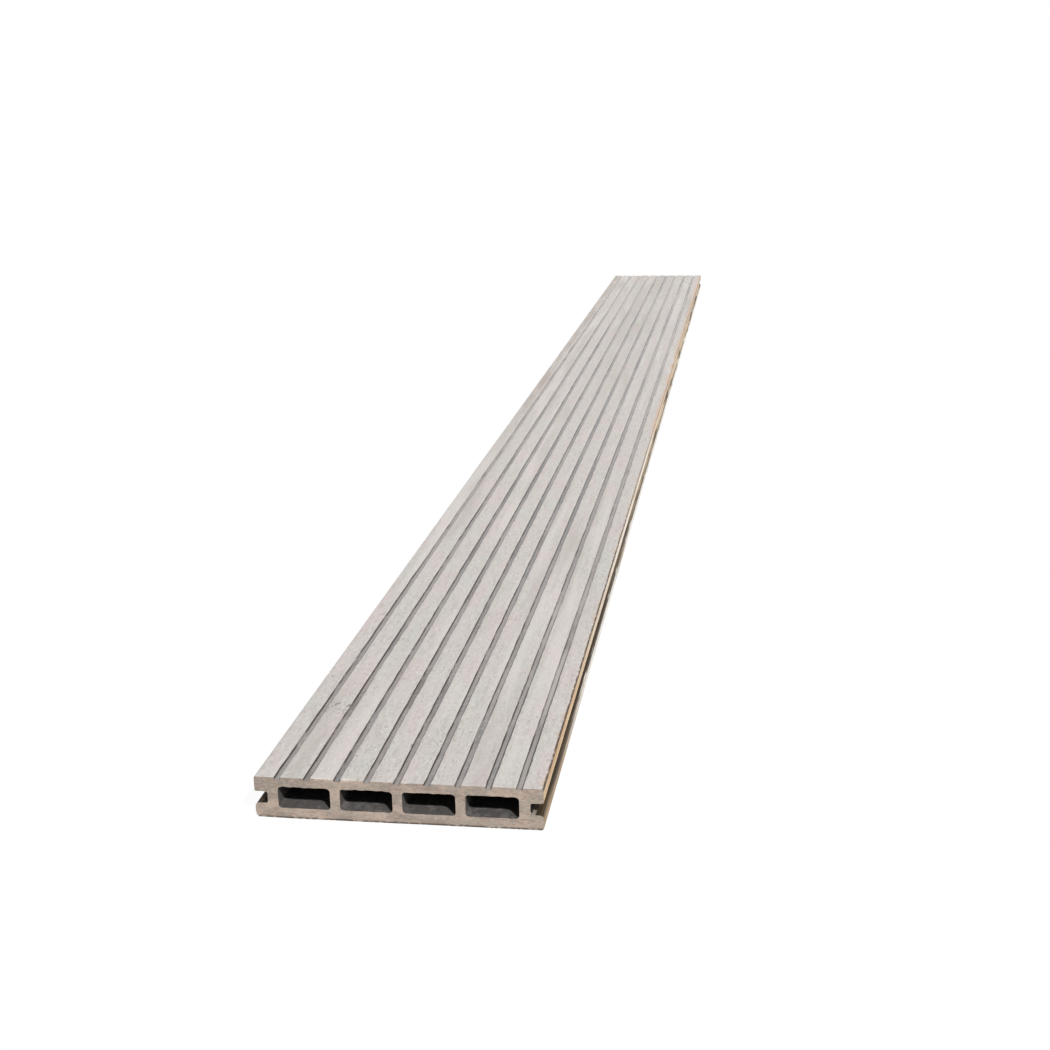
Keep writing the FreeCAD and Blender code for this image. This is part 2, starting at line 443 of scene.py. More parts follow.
@dataclass
class Wear:
    """How far the real surface strays from the die's shape, in millimetres.

    A fineness says how many times shorter a pattern's short waves are than its long
    ones. Starts and rows are places in the uneven heights, so far apart that no two
    patterns and no two lips are alike. A chamber's mouth has a burr where the heights
    are above `mouth_burr_level` and a nick below it, and `chip_rag` is the share of a
    chip's depth that is uneven.
    """

    coarse_share: float = 0.6
    lip_wander: float = 0.32
    lip_wander_length: float = 15.0
    lip_fineness: float = 2.9
    lip_rows: tuple[float, float] = (9.7, 5.3)
    lip_starts: tuple[float, float] = (3.0, 180.0)
    lip_reach: float = 1.2
    root_wander: float = 0.8
    root_wander_length: float = 13.0
    root_row: float = 7.1
    root_start: float = 260.0
    grain_depth: float = 0.08
    grain_width: float = 4.0
    grain_length: float = 60.0
    grain_fineness: tuple[float, float] = (2.3, 2.0)
    grain_start: tuple[float, float] = (100.0, 50.0)
    fine_grain_start: tuple[float, float] = (31.0, 77.0)
    sawn_depth: float = 0.16
    sawn_grit: float = 1.1
    sawn_fineness: float = 2.1
    chip_reach: float = 1.6
    chip_rag: float = 0.4
    torn_depth: float = 0.25
    edge_rag: float = 0.14
    rag_length: float = 1.3
    bottom_start: int = 40
    mouth_burr: float = 0.6
    mouth_burr_level: float = 0.4
    mouth_burr_length: float = 2.6
    mouth_burr_reach: float = 2.2
    # How far from each end the painted light strip in the right slot's corner reaches.
    lit_strip_reach: float = 14.0
    rub_radius: float = 3.0
    rub_reach: float = 30.0
    noise: Unevenness = field(default_factory=lambda: Unevenness(11))

    def mixed(self, coarse: np.ndarray, fine: np.ndarray) -> np.ndarray:
        """Coarse and fine heights, added up by their shares."""
        return self.coarse_share * coarse + (1 - self.coarse_share) * fine

    def grain(self, x: np.ndarray, y: np.ndarray) -> np.ndarray:
        """Works out what the brush took off a land: long shallow furrows along the board.

        Args:
            x: places across the board.
            y: places along it.

        Returns:
            The depth at each place.
        """
        u, v = x / self.grain_width, y / self.grain_length
        coarse = self.noise.at(u + self.grain_start[0], v + self.grain_start[1])
        u, v = u * self.grain_fineness[0], v * self.grain_fineness[1]
        fine = self.noise.at(u + self.fine_grain_start[0], v + self.fine_grain_start[1])
        return self.grain_depth * self.mixed(coarse, fine)

    def lip_offset(self, lip: int, y: np.ndarray) -> np.ndarray:
        """Works out how far a groove's lip lies to one side.

        Args:
            lip: the lip's number, counted across the board.
            y: places along the board.

        Returns:
            The offset at each place.
        """
        long_row = self.lip_rows[0] * lip + self.lip_starts[0]
        short_row = self.lip_rows[1] * lip + self.lip_starts[1]
        long_waves = self.noise.at(y / self.lip_wander_length, long_row)
        short_waves = self.noise.at(self.lip_fineness * y / self.lip_wander_length, short_row)
        return self.lip_wander * (long_waves + short_waves - 1.0)

    def root_offset(self, lip: int, y: np.ndarray) -> np.ndarray:
        """How far the foot of the groove's wall below a lip lies to one side, where dirt fills it."""
        waves = self.noise.at(y / self.root_wander_length, self.root_row * lip + self.root_start)
        return self.root_wander * (waves - 0.5)

    def rub(
        self, x: np.ndarray, z: np.ndarray, share: np.ndarray, side: float
    ) -> tuple[np.ndarray, np.ndarray]:
        """Moves points at the lower left corner in to where handling rounded it.

        Args:
            x: the points' places across the board.
            z: their heights.
            share: how far the rounding has gone at each station, 0 to 1.
            side: half the board's width.

        Returns:
            The new places across the board and the new heights.
        """
        across = np.minimum(x + side - self.rub_radius, 0)
        down = np.minimum(z - self.rub_radius, 0)
        distance = np.hypot(across, down)
        over = share * np.maximum(distance - self.rub_radius, 0) / np.maximum(distance, TINY)
        return x - across * over, z - down * over

    def sawn(self, x: np.ndarray, z: np.ndarray, seed: int) -> np.ndarray:
        """Works out how far a sawn end lies inside the board's length.

        Args:
            x: places across the board.
            z: their heights.
            seed: the end's own number, which sets where its pattern starts.

        Returns:
            The distance at each place.
        """
        coarse = self.noise.at(x / self.sawn_grit + seed, z / self.sawn_grit + seed)
        x, z = self.sawn_fineness * x, self.sawn_fineness * z
        fine = self.noise.at(x / self.sawn_grit, z / self.sawn_grit + seed)
        return self.sawn_depth * self.mixed(coarse, fine)

    def flaked(self, chips: tuple[Chip, ...], x: np.ndarray) -> np.ndarray:
        """Depth of the flake that is gone at places across the board, 0 where none is."""
        return np.max([chip.depth_at(x) for chip in chips], axis=0)

    def chipped(self, chips: tuple[Chip, ...], x: np.ndarray, seed: int) -> np.ndarray:
        """Works out what broke off along one edge of a sawn end: chips and a fine raggedness.

        Args:
            chips: the edge's chips.
            x: places across the board.
            seed: the edge's own number, which sets where its pattern starts.

        Returns:
            The depth at each place.
        """
        ragged = self.noise.at(x / self.rag_length + seed, seed + 0.5)
        flaked = self.flaked(chips, x) * (1 - self.chip_rag + self.chip_rag * ragged)
        return np.maximum(self.edge_rag * ragged, flaked)


@dataclass
class DeckingBoard:
    """The board: its skin, its chambers and its two sawn ends, in one closed mesh."""

    section: Section
    length: float
    wear: Wear
    near_end: SawnEnd
    far_end: SawnEnd
    near_spacing: float = 3.0
    far_spacing: float = 10.0
    end_steps: tuple[float, ...] = (0.4, 0.5, 0.7, 0.9, 1.3, 1.9, 2.8, 4.0, 5.5)
    chamber_steps: int = 6
    end_grid: float = 0.75
    grid_scatter: float = 0.3
    sharp_angle: float = 34.0
    vertices: list[np.ndarray] = field(default_factory=list)
    polygons: list[tuple[int, ...]] = field(default_factory=list)
    finishes: list[int] = field(default_factory=list)

    def stations(self) -> np.ndarray:
        """Works out where along the board its skin has a ring of points.

        Returns:
            The places, which lie closer together towards the near end.
        """
        near = -self.length / 2 + np.concatenate(([0.0], np.cumsum(self.end_steps)))
        span = -2 * near[-1]
        both = self.near_spacing + self.far_spacing
        growth = (self.far_spacing - self.near_spacing) / both
        share = np.linspace(0, 1, round(2 * span / both) + 1)[1:-1]
        middle = near[-1] + span * share * (1 - growth + growth * share)
        return np.concatenate((near, middle, -near[::-1]))

    def add_vertices(self, points: np.ndarray) -> np.ndarray:
        """Adds points to the mesh.

        Args:
            points: the points, with their three coordinates along the last axis.

        Returns:
            The points' numbers, in the shape of the array.
        """
        start = sum(len(block) for block in self.vertices)
        self.vertices.append(points.reshape(-1, 3))
        count = len(self.vertices[-1])
        return np.arange(start, start + count).reshape(points.shape[:-1])

    def add_rings(self, x: np.ndarray, y: np.ndarray, z: np.ndarray) -> np.ndarray:
        """Adds rings of points, the first and the last of them on the uneven sawn ends.

        Args:
            x: the points' places across the board, one row for each station.
            y: the stations' places along it.
            z: the points' heights.

        Returns:
            The points' numbers, one row for each station.
        """
        y = np.broadcast_to(y, x.shape).copy()
        y[0] += self.wear.sawn(x[0], z[0], self.near_end.seed)
        y[-1] -= self.wear.sawn(x[-1], z[-1], self.far_end.seed)
        return self.add_vertices(np.stack((x, y, z), axis=-1))

    def add_tube(self, rings: np.ndarray, faces: np.ndarray, outward: bool) -> None:
        """Joins rings of points by quadrilaterals.

        Args:
            rings: the points' numbers, one row for each station.
            faces: the material place of each quadrilateral, one row between two stations.
            outward: whether the surface looks away from the rings' middle.
        """
        following = np.roll(rings, -1, axis=1)
        quads = np.stack((rings[:-1], rings[1:], following[1:], following[:-1]), axis=-1)
        if not outward:
            quads = quads[..., ::-1]
        self.polygons += [tuple(quad) for quad in quads.reshape(-1, 4).tolist()]
        self.finishes += faces.reshape(-1).tolist()

    def end_share(self, end: SawnEnd, y: np.ndarray, reach: float) -> np.ndarray:
        """How much a sawn end tells at places along the board: 1 at the end, 0 past its reach."""
        inside = self.length / 2 - end.facing * y
        return np.clip(1 - inside / reach, 0, 1)

    def add_skin(self) -> np.ndarray:
        """Adds the outer surface.

        Returns:
            The numbers of its points, one row for each station.
        """
        section, wear = self.section, self.wear
        outline = section.skin()
        y = self.stations()[:, None]
        x = np.repeat(outline.points[None, :, 0], len(y), axis=0)
        z = np.repeat(outline.points[None, :, 1], len(y), axis=0)
        brushed = np.array([face is Face.BRUSHED for face in outline.faces])
        flat = np.abs(outline.points[:, 0]) < section.width / 2 - section.top_edge_radius
        land = flat & (brushed | np.roll(brushed, 1)) & (outline.points[:, 1] > section.thickness - TINY)
        low = section.thickness - section.groove_depth
        height = np.clip((outline.points[:, 1] - low) / section.groove_depth, 0, 1)
        worn = np.zeros_like(x)
        half = section.groove_width / 2
        lips = np.sort(np.concatenate((section.groove_middles() - half, section.groove_middles() + half)))
        for number, lip in enumerate(lips):
            reach = np.clip(1 - np.abs(outline.points[:, 0] - lip) / wear.lip_reach, 0, 1)
            worn += reach * height * wear.lip_offset(number, y)
            worn += reach * (1 - height) * wear.root_offset(number, y)
        z = z - np.where(land, wear.grain(x, y), 0)
        x = x + worn
        faces = np.repeat([[face.value for face in outline.faces]], len(y) - 1, axis=0)
        # Past its reach from the ends, the painted light strip gives way to the slot's skin.
        beyond_lit_strip = np.abs(y[1:]) < self.length / 2 - wear.lit_strip_reach
        faces = np.where(beyond_lit_strip & (faces == Face.LIT_STRIP.value), Face.SLOT.value, faces)
        for end in (self.near_end, self.far_end):
            share = self.end_share(end, y, wear.chip_reach)
            above = np.clip((z - low) / section.groove_depth, 0, 1)
            lowered = share * above * wear.chipped(end.top_chips, x, end.seed)
            below = np.clip(1 - z / section.bottom_edge_radius, 0, 1)
            raised = share * below * wear.chipped(end.bottom_chips, x, end.seed + wear.bottom_start)
            z = z - lowered + raised
            torn = (share > 0) & (wear.flaked(end.top_chips, x) > wear.torn_depth)
            torn = torn[:-1] & torn[1:]
            torn &= np.roll(torn, -1, axis=1)
            faces = np.where(torn & (faces == Face.BRUSHED.value), Face.SAWN.value, faces)
        x, z = wear.rub(x, z, self.end_share(self.near_end, y, wear.rub_reach), section.width / 2)
        rings = self.add_rings(x, y, z)
        self.add_tube(rings, faces, outward=True)
        return rings

    def add_chamber(self, outline: Outline) -> np.ndarray:
        """Adds one chamber's wall.

        Args:
            outline: the chamber's line in the section.

        Returns:
            The numbers of its points, one row for each station.
        """
        wear = self.wear
        steps = self.end_steps[:self.chamber_steps]
        near = -self.length / 2 + np.concatenate(([0.0], np.cumsum(steps)))
        y = np.concatenate((near, -near[::-1]))[:, None]
        x = np.repeat(outline.points[None, :, 0], len(y), axis=0)
        z = np.repeat(outline.points[None, :, 1], len(y), axis=0)
        middle = self.section.bottom_wall + self.section.chamber_radius
        for end in (self.near_end, self.far_end):
            share = self.end_share(end, y, wear.mouth_burr_reach)
            burr = wear.noise.at(x / wear.mouth_burr_length + end.seed, y / wear.mouth_burr_length)
            burr = share * wear.mouth_burr * (burr - wear.mouth_burr_level)
            z = z - np.where(z > middle, burr, 0)
            x = x - burr / 2
        rings = self.add_rings(x, y, z)
        faces = np.full((len(rings) - 1, len(outline.faces)), Face.CHAMBER.value)
        self.add_tube(rings, faces, outward=False)
        return rings

    def add_end(self, end: SawnEnd, loops: list[np.ndarray]) -> None:
        """Closes one end with triangles between its loops, on an uneven sawn surface.

        Args:
            end: the end.
            loops: the numbers of its loops' points, the skin's first and then the chambers'.
        """
        placed = np.concatenate(self.vertices)
        outlines = [placed[loop][:, (0, 2)] for loop in loops]
        borders = np.concatenate(outlines)
        step = self.end_grid
        across = np.arange(-self.section.width / 2 + step / 2, self.section.width / 2, step)
        up = np.arange(step / 2, self.section.thickness, step)
        grid = np.stack(np.meshgrid(across, up), axis=-1).reshape(-1, 2)
        scatter = np.random.default_rng(end.seed).uniform(-self.grid_scatter, self.grid_scatter, grid.shape)
        grid = grid + scatter * step
        grid = grid[within_walls(outlines, grid)]
        gaps = np.linalg.norm(grid[:, None] - borders[None], axis=-1).min(axis=1)
        grid = grid[gaps > step / 2]
        inward = -end.facing * self.wear.sawn(grid[:, 0], grid[:, 1], end.seed)
        y = end.facing * self.length / 2 + inward
        inner = self.add_vertices(np.stack((grid[:, 0], y, grid[:, 1]), axis=-1))
        numbers = np.concatenate([*loops, inner])
        edges, start = [], 0
        for loop in loops:
            count = len(loop)
            edges += [(start + index, start + (index + 1) % count) for index in range(count)]
            start += count
        places = np.concatenate((borders, grid))
        fill_hull, nearness = 0, 1e-6
        made = delaunay_2d_cdt([Vector(place) for place in places], edges, [], fill_hull, nearness)
        made_faces, made_sources = made[2], made[3]
        origins = [sources[0] for sources in made_sources]
        triangles = np.array([[origins[corner] for corner in face] for face in made_faces])
        middles = places[triangles].mean(axis=1)
        triangles = numbers[triangles[within_walls(outlines, middles)]]
        if end.facing > 0:
            triangles = triangles[:, ::-1]
        self.polygons += [tuple(triangle) for triangle in triangles.tolist()]
        self.finishes += [Face.SAWN.value] * len(triangles)

    def build(self) -> bpy.types.Object:
        """Makes the whole board.

        Returns:
            The board's object, in metres, with no materials yet.
        """
        skin = self.add_skin()
        chambers = [self.add_chamber(outline) for outline in self.section.chambers()]
        self.add_end(self.near_end, [skin[0], *(rings[0] for rings in chambers)])
        self.add_end(self.far_end, [skin[-1], *(rings[-1] for rings in chambers)])
        mesh = bpy.data.meshes.new("board_surface")
        mesh.from_pydata((np.concatenate(self.vertices) * MM).tolist(), [], self.polygons)
        mesh.polygons.foreach_set("material_index", self.finishes)
        mesh.polygons.foreach_set("use_smooth", [True] * len(mesh.polygons))
        mesh.set_sharp_from_angle(angle=math.radians(self.sharp_angle))
        mesh.update()
        return add_object("extruded_board", mesh)


@dataclass(frozen=True)
class Grain:
    """The size of a pattern's marks in millimetres, across, along and up the board.

    `detail` is how many finer layers it has, `skew` turns it, in degrees, and `curl`
    bends it.
    """

    across: float
    along: float
    up: float = 9.0
    detail: float = 2.0
    skew: float = 0.0
    curl: float = 0.0

    def marks(self, tree: bpy.types.NodeTree) -> bpy.types.NodeSocket:
        """Adds the pattern to a material.

        Args:
            tree: the material's node tree.

        Returns:
            The output that holds the pattern, about 0 to 1 with most of it near a half.
        """
        place = add_node(tree, "ShaderNodeTexCoord").outputs["Object"]
        turned = add_node(tree, "ShaderNodeMapping", {"vector_type": "POINT"}, {
            "Vector": place,
            "Rotation": (0.0, 0.0, math.radians(self.skew)),
        }).outputs["Vector"]
        sized = add_node(tree, "ShaderNodeMapping", {"vector_type": "POINT"}, {
            "Vector": turned,
            "Scale": (1 / (self.across * MM), 1 / (self.along * MM), 1 / (self.up * MM)),
        }).outputs["Vector"]
        noise = add_node(tree, "ShaderNodeTexNoise", {"noise_dimensions": "3D"}, {
            "Vector": sized,
            "Scale": 1.0,
            "Detail": self.detail,
            "Distortion": self.curl,
        })
        return noise.outputs["Fac"]


@dataclass(frozen=True)
class Scratches:
    """Thin curved marks as a pattern: the edges of uneven cells, sized in millimetres."""

    cell: float
    bend: float = 0.6

    def marks(self, tree: bpy.types.NodeTree) -> bpy.types.NodeSocket:
        """Adds the pattern to a material.

        Args:
            tree: the material's node tree.

        Returns:
            The output that holds the pattern, 1 on the marks and less away from them.
        """
        place = add_node(tree, "ShaderNodeTexCoord").outputs["Object"]
        size = self.cell * MM
        waves = add_node(tree, "ShaderNodeTexNoise", {"noise_dimensions": "3D"}, {
            "Vector": place,
            "Scale": 1 / size,
            "Detail": 1.0,
        })
        bent = add_node(tree, "ShaderNodeVectorMath", {"operation": "MULTIPLY_ADD"}, {
            0: waves.outputs["Color"],
            1: (self.bend * size, self.bend * size, 0.0),
            2: place,
        })
        cells = add_node(tree, "ShaderNodeTexVoronoi", {"feature": "DISTANCE_TO_EDGE"}, {
            "Vector": bent.outputs["Vector"],
            "Scale": 1 / size,
        })
        return add_node(tree, "ShaderNodeMath", {"operation": "SUBTRACT"}, {
            0: 1.0,
            1: cells.outputs["Distance"],
        }).outputs["Value"]


@dataclass(frozen=True)
class Ramp:
    """A share that grows along one of the board's axes, between two places in millimetres."""

    axis: str
    none: float
    full: float

    def place(self, tree: bpy.types.NodeTree) -> bpy.types.NodeSocket:
        """Adds the place along the axis to a material."""
        place = add_node(tree, "ShaderNodeTexCoord").outputs["Object"]
        return add_node(tree, "ShaderNodeSeparateXYZ", None, {"Vector": place}).outputs[self.axis]


@dataclass(frozen=True)
class Tint:
    """A colour laid over the one beneath it where a pattern's marks are strong.

    It shows where the marks pass `start`, and by its whole `amount` where they pass
    `full`. With `patches` it comes only where that wider pattern is strong too, with
    `ramps` only as far as each has grown, and with `spot` only round one place on the
    walking face: across, along and the radius.
    """

    PATCH_START = 0.58
    PATCH_FULL = 0.66
    SPOT_CORE = 0.6

    colour: str
    grain: Grain | Scratches
    start: float
    full: float
    amount: float
    patches: Grain | None = None
    ramps: tuple[Ramp, ...] = ()
    spot: tuple[float, float, float] | None = None

    def strength(self, tree: bpy.types.NodeTree) -> bpy.types.NodeSocket:
        """Adds the tint's strength to a material.

        Args:
            tree: the material's node tree.

        Returns:
            The output that holds the strength, from 0 to the tint's amount.
        """
        strength = add_node(tree, "ShaderNodeMapRange", {"interpolation_type": "SMOOTHSTEP"}, {
            "Value": self.grain.marks(tree),
            "From Min": self.start,
            "From Max": self.full,
            "To Min": 0.0,
            "To Max": self.amount,
        }).outputs["Result"]
        limits = []
        if self.patches is not None:
            limits.append((self.patches.marks(tree), self.PATCH_START, self.PATCH_FULL))
        for ramp in self.ramps:
            limits.append((ramp.place(tree), ramp.none * MM, ramp.full * MM))
        if self.spot is not None:
            across, along, radius = (length * MM for length in self.spot)
            place = add_node(tree, "ShaderNodeTexCoord").outputs["Object"]
            gap = add_node(tree, "ShaderNodeVectorMath", {"operation": "DISTANCE"}, {
                0: place,
                1: (across, along, cad_box[1].z),
            }).outputs["Value"]
            limits.append((gap, radius, self.SPOT_CORE * radius))
        for value, none, full in limits:
            share = add_node(tree, "ShaderNodeMapRange", {"interpolation_type": "SMOOTHSTEP"}, {
                "Value": value,
                "From Min": none,
                "From Max": full,
            })
            strength = add_node(tree, "ShaderNodeMath", {"operation": "MULTIPLY"}, {
                0: strength,
                1: share.outputs["Result"],
            }).outputs["Value"]
        return strength


@dataclass(frozen=True)
class Relief:
    """Fine relief in millimetres, too small for the mesh."""

    grain: Grain
    depth: float


@dataclass(frozen=True)
class Finish:
    """A finish of the composite: its plain colour, its tints and its fine relief.

    The composite is about 60 percent wood flour in polyethylene, so its index of
    refraction is near 1.5 and it is never metallic.
    """

    name: str
    colour: str
    roughness: float
    tints: tuple[Tint, ...] = ()
    reliefs: tuple[Relief, ...] = ()
    ior: float = 1.5
    specular: float = 0.5

    def material(self) -> bpy.types.Material:
        """Makes the finish's material: its colour, then each tint over it, then its reliefs.

        Returns:
            The material.
        """
        material = bpy.data.materials.new(self.name)
        material.use_nodes = True
        tree = material.node_tree
        shader = tree.nodes["Principled BSDF"]
        shader.inputs["Base Color"].default_value = linear(self.colour)
        shader.inputs["Roughness"].default_value = self.roughness
        shader.inputs["IOR"].default_value = self.ior
        shader.inputs["Specular IOR Level"].default_value = self.specular
        colour = None
        for tint in self.tints:
            colour = add_node(tree, "ShaderNodeMix", {"data_type": "RGBA"}, {
                MIX_FACTOR: tint.strength(tree),
                MIX_A: linear(self.colour) if colour is None else colour,
                MIX_B: linear(tint.colour),
            }).outputs[MIX_RESULT]
        if colour is not None:
            tree.links.new(colour, shader.inputs["Base Color"])
        normal = None
        for relief in self.reliefs:
            inputs = {"Height": relief.grain.marks(tree), "Strength": 1.0, "Distance": relief.depth * MM}
            if normal is not None:
                inputs["Normal"] = normal
            normal = add_node(tree, "ShaderNodeBump", None, inputs).outputs["Normal"]
        if normal is not None:
            tree.links.new(normal, shader.inputs["Normal"])
        return material


# Marks that several finishes share.
BLOTCHES = Grain(across=20, along=60)
# The noise of the painted shadow beside the right wall of the two rightmost grooves.
PAINTED_SHADOW_LINE = Grain(across=9, along=40)
SHORT_STREAKS = Grain(across=9, along=60)
STREAKS = Grain(across=9, along=90)
LONG_STREAKS = Grain(across=9, along=120)
# The noise of the painted sheen that pales the grooves along the board.
SHEEN_DRIFTS = Grain(across=24, along=300, detail=1)
UNDERSIDE_STREAKS = Grain(across=1.4, along=40, up=4, detail=4)

# Stretches of the board over which a colour of several finishes comes in.
NEAR_STRETCH = Ramp("Y", -760, -860)
PAST_NEAR_STRETCH = Ramp("Y", -760, -560)
FAR_STRETCH = Ramp("Y", 120, 620)

# Two places on the walking face that something scraped: across, along and the radius.
SCUFFED_PLACES = ((-52.5, -910.8, 11.0), (-67.3, -859.9, 8.0))

# The walking face was wire-brushed along its length, which tears the shiny skin off
# and leaves it matt and pale grey, with fine streaks, short dark fibres and soft
# pinkish and greenish mottling where the wood flour differs. The flour's own grain is
# too fine to show in the render, so its marks are drawn coarser, 0.7 to 1.7 mm across.
# Along the right edge the tan skin shows through, and its rim is worn dark in the half
# towards the near end.
BRUSHED = Finish(
    name="composite_wire_brushed",
    colour="#C9C3BF",
    roughness=0.62,
    tints=(
        Tint("#D0BEBC", Grain(across=13, along=44, up=13, detail=3), 0.46, 0.68, 0.48),
        Tint("#C2C6BC", Grain(across=14, along=52, up=14, detail=3), 0.48, 0.68, 0.5),
        Tint("#DAD5D0", Grain(across=1.5, along=3.6, up=4, detail=4), 0.46, 0.72, 0.65),
        Tint("#A39994", Grain(across=1.2, along=3.4, up=4, detail=4), 0.52, 0.74, 0.6),
        Tint("#ACA29C", Grain(across=1.7, along=16, up=4, detail=3), 0.5, 0.74, 0.4),
        Tint("#8B827C", Grain(across=0.7, along=4.2, up=2), 0.72, 0.86, 0.2),
        Tint("#DAD4CF", Grain(across=15, along=280), 0.52, 0.68, 0.5),
        Tint("#B5ACA6", Grain(across=13, along=240), 0.54, 0.7, 0.5),
        Tint("#9A8C80", SHORT_STREAKS, 0.2, 0.6, 0.5, ramps=(Ramp("X", -61, -66), Ramp("Y", -450, 0))),
        Tint(
            "#A39B95", Grain(across=12, along=200), 0.3, 0.6, 0.3,
            ramps=(Ramp("X", -34, -6), Ramp("X", 44, 12), Ramp("Y", -300, 400)),
        ),
        Tint(
            "#C6A478", Grain(across=3, along=15, up=3, detail=3), 0.5, 0.64, 0.5,
            ramps=(Ramp("X", 69.6, 72),),
        ),
        Tint("#CFA57A", SHORT_STREAKS, 0.25, 0.5, 0.65, ramps=(Ramp("X", 68.8, 72), Ramp("Y", -350, -50))),
        Tint(
            "#432C12", Grain(across=3, along=6, up=3), 0.28, 0.5, 0.97,
            ramps=(Ramp("X", 71.55, 72.1), Ramp("Y", -60, -620)),
        ),
        Tint(
            "#6A5F58", Grain(across=1.2, along=9, up=3, detail=1, curl=2.5), 0.66, 0.72, 0.7,
            patches=Grain(across=60, along=90, up=60, detail=1),
        ),
        Tint(
            "#665E58", Scratches(cell=3.8), 0.88, 0.97, 0.85,
            patches=Grain(across=3.2, along=3.2, up=4, detail=1), spot=SCUFFED_PLACES[0],
        ),
        Tint(
            "#665E58", Scratches(cell=2.9, bend=0.9), 0.86, 0.96, 0.8,
            patches=Grain(across=2.4, along=3.2, up=4, detail=0), spot=SCUFFED_PLACES[0],
        ),
        Tint(
            "#665E58", Scratches(cell=3.5), 0.88, 0.97, 0.8,
            patches=Grain(across=3, along=3, up=4, detail=1), spot=SCUFFED_PLACES[1],
        ),
    ),
    reliefs=(
        Relief(Grain(across=1.1, along=9, up=3, detail=4), 0.12),
        Relief(Grain(across=1.0, along=2.4, up=2), 0.05),
    ),
)

# The brush doesn't reach into the grooves, so their floors keep the darker grey of
# the extruded skin, with a soft sheen, oblique scratches and dirt in patches. Past the
# near end the middle grooves are bluer and darker. Close to the near end the floor
# beside the right wall of the two rightmost grooves is darkened, which is painted
# shadow of the right lip, and all the grooves turn paler far away, which is painted sheen.
GROOVE = Finish(
    name="composite_groove_skin",
    colour="#8A827E",
    roughness=0.26,
    tints=(
        Tint("#5C514B", Grain(across=10, along=80, detail=3), 0.52, 0.62, 0.85),
        Tint("#7A7B7C", Grain(across=11, along=46), 0.52, 0.66, 0.6),
        Tint("#A59D98", Grain(across=0.9, along=5, up=2, detail=3, skew=24), 0.5, 0.68, 0.6),
        Tint("#625954", Grain(across=0.8, along=4, up=0.8, detail=3, skew=24), 0.54, 0.7, 0.5),
        Tint(
            "#4F4F53", Grain(across=14, along=150), 0.34, 0.6, 0.74,
            ramps=(Ramp("X", -50, -10), Ramp("X", 56, 26), PAST_NEAR_STRETCH),
        ),
        Tint("#A8A09C", BLOTCHES, 0.3, 0.6, 0.45, ramps=(Ramp("X", 52, 58), NEAR_STRETCH)),
        Tint(
            "#B0A8A3", BLOTCHES, 0.3, 0.6, 0.6,
            ramps=(Ramp("X", 20, 40), Ramp("Y", -940, -860), Ramp("Y", -640, -740)),
        ),
        # Painted shadow of the right lip on the floor of the two rightmost grooves, close to the near end.
        Tint("#3A332F", PAINTED_SHADOW_LINE, 0.24, 0.46, 0.8, ramps=(Ramp("X", 61.1, 61.6), NEAR_STRETCH)),
        Tint(
            "#3A332F", PAINTED_SHADOW_LINE, 0.24, 0.46, 0.8,
            ramps=(Ramp("X", 45.9, 46.4), Ramp("X", 52, 50), NEAR_STRETCH),
        ),
        # Painted sheen: the grooves turn paler far away.
        Tint("#B4ABA4", SHEEN_DRIFTS, 0.3, 0.62, 0.6, ramps=(Ramp("Y", -200, 620),)),
    ),
    reliefs=(Relief(Grain(across=0.9, along=5, up=2, detail=3, skew=32), 0.03),),
)

# The grooves' walls, and narrow strips of floor at their feet, are dark grey and nearly
# black in places, which draws the uneven dark line along each groove. They pale along
# the board, which is painted sheen, and close to the near end they are blackest at the
# right of the two rightmost grooves, which is painted shadow of the right lip.
WALL = Finish(
    name="composite_groove_wall_dark",
    colour="#48403B",
    roughness=0.28,
    tints=(
        Tint("#928A86", Grain(across=20, along=26, up=20, detail=3), 0.48, 0.64, 0.88),
        Tint("#3D3633", Grain(across=14, along=11, up=14, detail=3), 0.5, 0.64, 0.8),
        Tint("#AFA69F", BLOTCHES, 0.3, 0.56, 0.78, ramps=(Ramp("X", -50, -57), PAST_NEAR_STRETCH)),
        Tint("#9A918B", BLOTCHES, 0.3, 0.6, 0.55, ramps=(Ramp("X", 50, 57), Ramp("Y", -950, -860))),
        # Painted shadow at the right of the two rightmost grooves, close to the near end.
        Tint("#231E1B", PAINTED_SHADOW_LINE, 0.2, 0.42, 1.0, ramps=(Ramp("X", 61.1, 61.5), NEAR_STRETCH)),
        Tint(
            "#231E1B", PAINTED_SHADOW_LINE, 0.2, 0.42, 1.0,
            ramps=(Ramp("X", 46, 46.4), Ramp("X", 52, 50), NEAR_STRETCH),
        ),
        # Painted sheen: the walls turn paler along the board.
        Tint("#9F968F", SHEEN_DRIFTS, 0.3, 0.6, 0.75, ramps=(Ramp("Y", -820, 150),)),
    ),
)

# The upper edges were cut back by the brush and show the dark brown of the composite.
# Along the board they turn paler, which is painted sheen, and greyer towards the far end.
ARRIS = Finish(
    name="composite_worn_arris",
    colour="#38291A",
    roughness=0.55,
    specular=0.3,
    tints=(
        Tint("#8A6B45", Grain(across=3, along=8, up=3, detail=3), 0.5, 0.66, 0.7),
        # Painted sheen: paler along the board.
        Tint("#B2987A", STREAKS, 0.3, 0.58, 0.85, ramps=(Ramp("Y", -940, -120),)),
        Tint("#A79F99", STREAKS, 0.3, 0.56, 0.4, ramps=(FAR_STRETCH,)),
    ),
)

